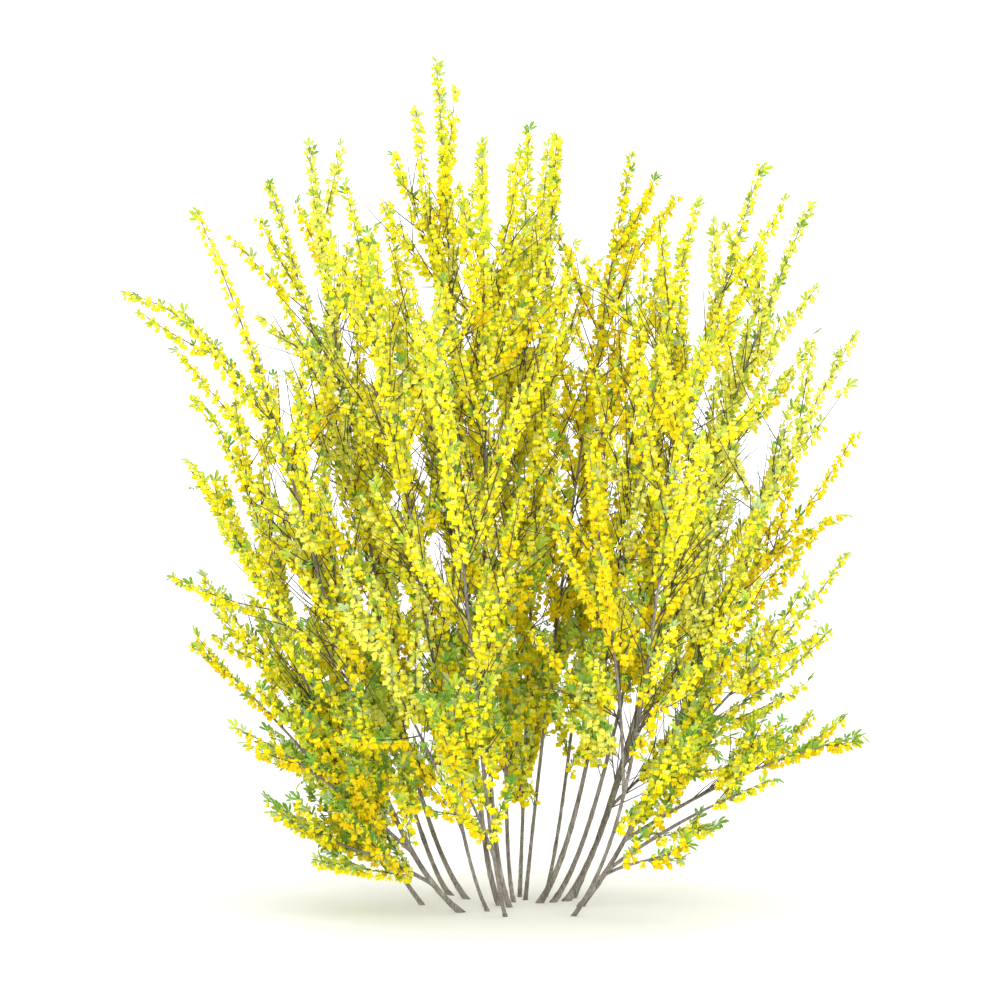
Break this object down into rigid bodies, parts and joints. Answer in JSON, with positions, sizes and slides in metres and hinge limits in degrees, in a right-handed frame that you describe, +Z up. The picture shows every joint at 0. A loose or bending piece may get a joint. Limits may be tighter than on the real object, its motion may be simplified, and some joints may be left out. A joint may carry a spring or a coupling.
{
  "type": "scotch broom shrub",
  "caption": "Shrub in full flower: slender bare stems rise from the ground in a clump and fan out into a round crown of upright twigs set with small yellow pea flowers and few leaves.",
  "frame": {"origin": "middle of the main stem's flat cut at ground level, at the heart of the clump", "axes": "+Z up, +X to the right and +Y away from the side that the picture shows"},
  "size_m": [1.7445, 1.5093, 1.9812],
  "materials": {
    "bark": "brown-grey bark with fine lengthwise ridges",
    "blossom": "clear yellow petals, golden towards the keel",
    "foliage": "soft matt light green leaves"
  },
  "bodies": {
    "root": {"blossom_back_left": "blossom", "blossom_back_low": "blossom", "blossom_back_right": "blossom", "blossom_front_left": "blossom", "blossom_front_right": "blossom", "blossom_left_back": "blossom", "blossom_left_front": "blossom", "blossom_left_high": "blossom", "blossom_left_mid": "blossom", "blossom_right_back": "blossom", "blossom_right_high": "blossom", "blossom_right_low": "blossom", "blossom_right_mid": "blossom", "blossom_right_waist": "blossom", "blossom_stem_01": "blossom", "blossom_stem_02": "blossom", "blossom_stem_03": "blossom", "blossom_stem_04": "blossom", "blossom_stem_05": "blossom", "blossom_stem_06": "blossom", "blossom_stem_07": "blossom", "blossom_stem_08": "blossom", "blossom_stem_09": "blossom", "blossom_stem_10": "blossom", "blossom_stem_11": "blossom", "blossom_stem_12": "blossom", "blossom_stem_13": "blossom", "blossom_stem_14": "blossom", "blossom_stem_15": "blossom", "blossom_stem_16": "blossom", "blossom_stem_17": "blossom", "blossom_stem_main": "blossom", "blossom_top_left": "blossom", "bough_left_front": "bark", "bough_left_low": "bark", "bough_left_mid": "bark", "bough_right_front": "bark", "bough_right_low": "bark", "bough_right_mid": "bark", "leaves_front_low": "foliage", "leaves_left_low": "foliage", "leaves_right_front": "foliage", "stem_01": "bark", "stem_02": "bark", "stem_03": "bark", "stem_04": "bark", "stem_05": "bark", "stem_06": "bark", "stem_07": "bark", "stem_08": "bark", "stem_09": "bark", "stem_10": "bark", "stem_11": "bark", "stem_12": "bark", "stem_13": "bark", "stem_14": "bark", "stem_15": "bark", "stem_16": "bark", "stem_17": "bark", "stem_main": "bark"}
  },
  "joints": []
}
